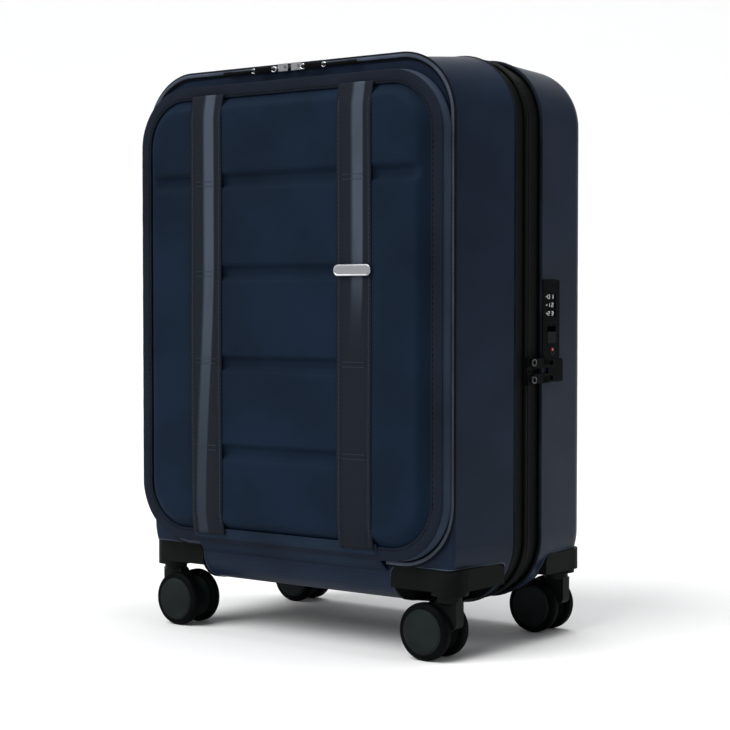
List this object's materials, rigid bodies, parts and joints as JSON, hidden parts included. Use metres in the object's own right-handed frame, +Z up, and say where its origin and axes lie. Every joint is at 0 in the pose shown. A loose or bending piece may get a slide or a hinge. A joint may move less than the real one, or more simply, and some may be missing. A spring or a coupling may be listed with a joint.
{
  "type": "hard shell suitcase on wheels",
  "caption": "Upright clamshell cabin suitcase with a zipped padded front door, side combination lock, telescopic trolley handle and swivelling twin-wheel casters.",
  "frame": {"origin": "middle of the footprint at floor level, case standing on its wheels", "axes": "+Z up; +X towards the side with the lock; -Y is the front with the padded door"},
  "size_m": [0.387, 0.2422, 0.55],
  "materials": {
    "shell": "satin, lightly textured",
    "piping": "satin",
    "zip": "woven tape with moulded teeth",
    "lining": "thin woven polyester",
    "cloth": "plain woven nylon",
    "housing": "fine matte grain",
    "tube": "satin anodised",
    "grip": "matte with soft edges",
    "button": "matte",
    "lock": "satin",
    "steel": "plain",
    "pull": "matte moulded",
    "slider": "polished",
    "board": "plain sheet",
    "panel": "ballistic weave, padded",
    "binding": "grosgrain weave",
    "strap": "ribbed webbing",
    "plate": "polished rim, brushed face",
    "fork": "fine matte grain",
    "hub": "satin",
    "tread": "smooth"
  },
  "bodies": {
    "rear_case": {"rear_shell": "shell", "rear_piping": "piping", "rear_zip": "zip", "rear_lining": "lining", "hinge_cloth": "cloth", "trolley_bezel": "housing", "outer_tubes": "tube", "top_handle_bezel": "housing", "side_handle_bezel": "housing", "lock_body": "lock", "lock_dock": "lock", "rear_screws": "steel", "rear_left_housing": "housing", "rear_right_housing": "housing"},
    "front_case": {"front_shell": "shell", "front_piping": "piping", "front_zip": "zip", "front_lining": "lining", "door_zip": "zip", "door_hinge_strip": "cloth", "front_screws": "steel", "front_left_housing": "housing", "front_right_housing": "housing"},
    "door": {"door_board": "board", "door_panel": "panel", "door_binding": "binding", "door_gusset": "cloth", "left_strap": "strap", "right_strap": "strap", "badge_plate": "plate"},
    "trolley_middle": {"middle_tubes": "tube"},
    "trolley_inner": {"inner_tubes": "tube", "trolley_grip": "grip"},
    "trolley_release": {"grip_button": "button", "release_rods": "tube"},
    "top_carry_handle": {"top_handle": "grip"},
    "side_carry_handle": {"side_handle": "grip"},
    "lock_dial_1": {"dial_1": "lock"},
    "lock_dial_2": {"dial_2": "lock"},
    "lock_dial_3": {"dial_3": "lock"},
    "lock_release": {"lock_button": "button"},
    "lock_key": {"key_core": "steel"},
    "upper_zip_slider": {"upper_slider": "pull"},
    "lower_zip_slider": {"lower_slider": "pull"},
    "left_door_zip_slider": {"left_door_slider": "slider"},
    "right_door_zip_slider": {"right_door_slider": "slider"},
    "left_door_zip_pull": {"left_door_pull": "pull"},
    "right_door_zip_pull": {"right_door_pull": "pull"},
    "front_left_caster": {"front_left_fork": "fork"},
    "front_left_wheels": {"front_left_hubs": "hub", "front_left_tyres": "tread"},
    "front_right_caster": {"front_right_fork": "fork"},
    "front_right_wheels": {"front_right_hubs": "hub", "front_right_tyres": "tread"},
    "rear_left_caster": {"rear_left_fork": "fork"},
    "rear_left_wheels": {"rear_left_hubs": "hub", "rear_left_tyres": "tread"},
    "rear_right_caster": {"rear_right_fork": "fork"},
    "rear_right_wheels": {"rear_right_hubs": "hub", "rear_right_tyres": "tread"}
  },
  "joints": [
    {"name": "front_case_hinge", "type": "hinge", "parent": "rear_case", "child": "front_case", "pos_m": [-0.1905, 0.0125, 0.29], "axis": [0, 0, -1], "range_deg": [0, 150]},
    {"name": "door_hinge", "type": "hinge", "parent": "front_case", "child": "door", "pos_m": [0, -0.0981, 0.0879], "axis": [1, 0, 0], "range_deg": [0, 90]},
    {"name": "trolley_middle_slide", "type": "slide", "parent": "rear_case", "child": "trolley_middle", "axis": [0, 0, 1], "range_m": [0, 0.22]},
    {"name": "trolley_inner_slide", "type": "slide", "parent": "trolley_middle", "child": "trolley_inner", "axis": [0, 0, 1], "range_m": [0, 0.22]},
    {"name": "grip_button_press", "type": "slide", "parent": "trolley_inner", "child": "trolley_release", "axis": [0, 0, -1], "range_m": [0, 0.003], "stiffness_N_per_m": 900, "springref_m": -0.001},
    {"name": "top_handle_lift", "type": "slide", "parent": "rear_case", "child": "top_carry_handle", "axis": [0, 0, 1], "range_m": [0, 0.018]},
    {"name": "side_handle_lift", "type": "slide", "parent": "rear_case", "child": "side_carry_handle", "axis": [-1, 0, 0], "range_m": [0, 0.012]},
    {"name": "dial_1_turn", "type": "hinge", "parent": "rear_case", "child": "lock_dial_1", "pos_m": [0.1848, 0.05, 0.3228], "axis": [0, 0, 1], "continuous": true},
    {"name": "dial_2_turn", "type": "hinge", "parent": "rear_case", "child": "lock_dial_2", "pos_m": [0.1848, 0.05, 0.3151], "axis": [0, 0, 1], "continuous": true},
    {"name": "dial_3_turn", "type": "hinge", "parent": "rear_case", "child": "lock_dial_3", "pos_m": [0.1848, 0.05, 0.3074], "axis": [0, 0, 1], "continuous": true},
    {"name": "lock_button_slide", "type": "slide", "parent": "rear_case", "child": "lock_release", "axis": [0, 0, 1], "range_m": [0, 0.005], "stiffness_N_per_m": 150},
    {"name": "key_turn", "type": "hinge", "parent": "rear_case", "child": "lock_key", "pos_m": [0.187, 0.0516, 0.2722], "axis": [1, 0, 0], "range_deg": [0, 90]},
    {"name": "upper_slider_slide", "type": "slide", "parent": "rear_case", "child": "upper_zip_slider", "axis": [0, 0, 1], "range_m": [0, 0.2]},
    {"name": "lower_slider_slide", "type": "slide", "parent": "rear_case", "child": "lower_zip_slider", "axis": [0, 0, -1], "range_m": [0, 0.14]},
    {"name": "left_door_slider_slide", "type": "slide", "parent": "front_case", "child": "left_door_zip_slider", "axis": [-1, 0, 0], "range_m": [0, 0.11]},
    {"name": "right_door_slider_slide", "type": "slide", "parent": "front_case", "child": "right_door_zip_slider", "axis": [1, 0, 0], "range_m": [0, 0.11]},
    {"name": "left_door_pull_flip", "type": "hinge", "parent": "left_door_zip_slider", "child": "left_door_zip_pull", "pos_m": [-0.0158, -0.102, 0.534], "axis": [0, 0, 1], "range_deg": [0, 150]},
    {"name": "right_door_pull_flip", "type": "hinge", "parent": "right_door_zip_slider", "child": "right_door_zip_pull", "pos_m": [0.0158, -0.102, 0.534], "axis": [0, 0, -1], "range_deg": [0, 150]},
    {"name": "front_left_swivel", "type": "hinge", "parent": "front_case", "child": "front_left_caster", "pos_m": [-0.1665, -0.0786, 0.06], "axis": [0, 0, 1], "continuous": true},
    {"name": "front_left_roll", "type": "hinge", "parent": "front_left_caster", "child": "front_left_wheels", "pos_m": [-0.1495, -0.0786, 0.026], "axis": [0, 1, 0], "continuous": true},
    {"name": "front_right_swivel", "type": "hinge", "parent": "front_case", "child": "front_right_caster", "pos_m": [0.1665, -0.0786, 0.06], "axis": [0, 0, 1], "continuous": true},
    {"name": "front_right_roll", "type": "hinge", "parent": "front_right_caster", "child": "front_right_wheels", "pos_m": [0.1495, -0.0786, 0.026], "axis": [0, 1, 0], "continuous": true},
    {"name": "rear_left_swivel", "type": "hinge", "parent": "rear_case", "child": "rear_left_caster", "pos_m": [-0.1665, 0.1001, 0.06], "axis": [0, 0, 1], "continuous": true},
    {"name": "rear_left_roll", "type": "hinge", "parent": "rear_left_caster", "child": "rear_left_wheels", "pos_m": [-0.1495, 0.1001, 0.026], "axis": [0, 1, 0], "continuous": true},
    {"name": "rear_right_swivel", "type": "hinge", "parent": "rear_case", "child": "rear_right_caster", "pos_m": [0.1665, 0.1001, 0.06], "axis": [0, 0, 1], "continuous": true},
    {"name": "rear_right_roll", "type": "hinge", "parent": "rear_right_caster", "child": "rear_right_wheels", "pos_m": [0.1495, 0.1001, 0.026], "axis": [0, 1, 0], "continuous": true}
  ]
}
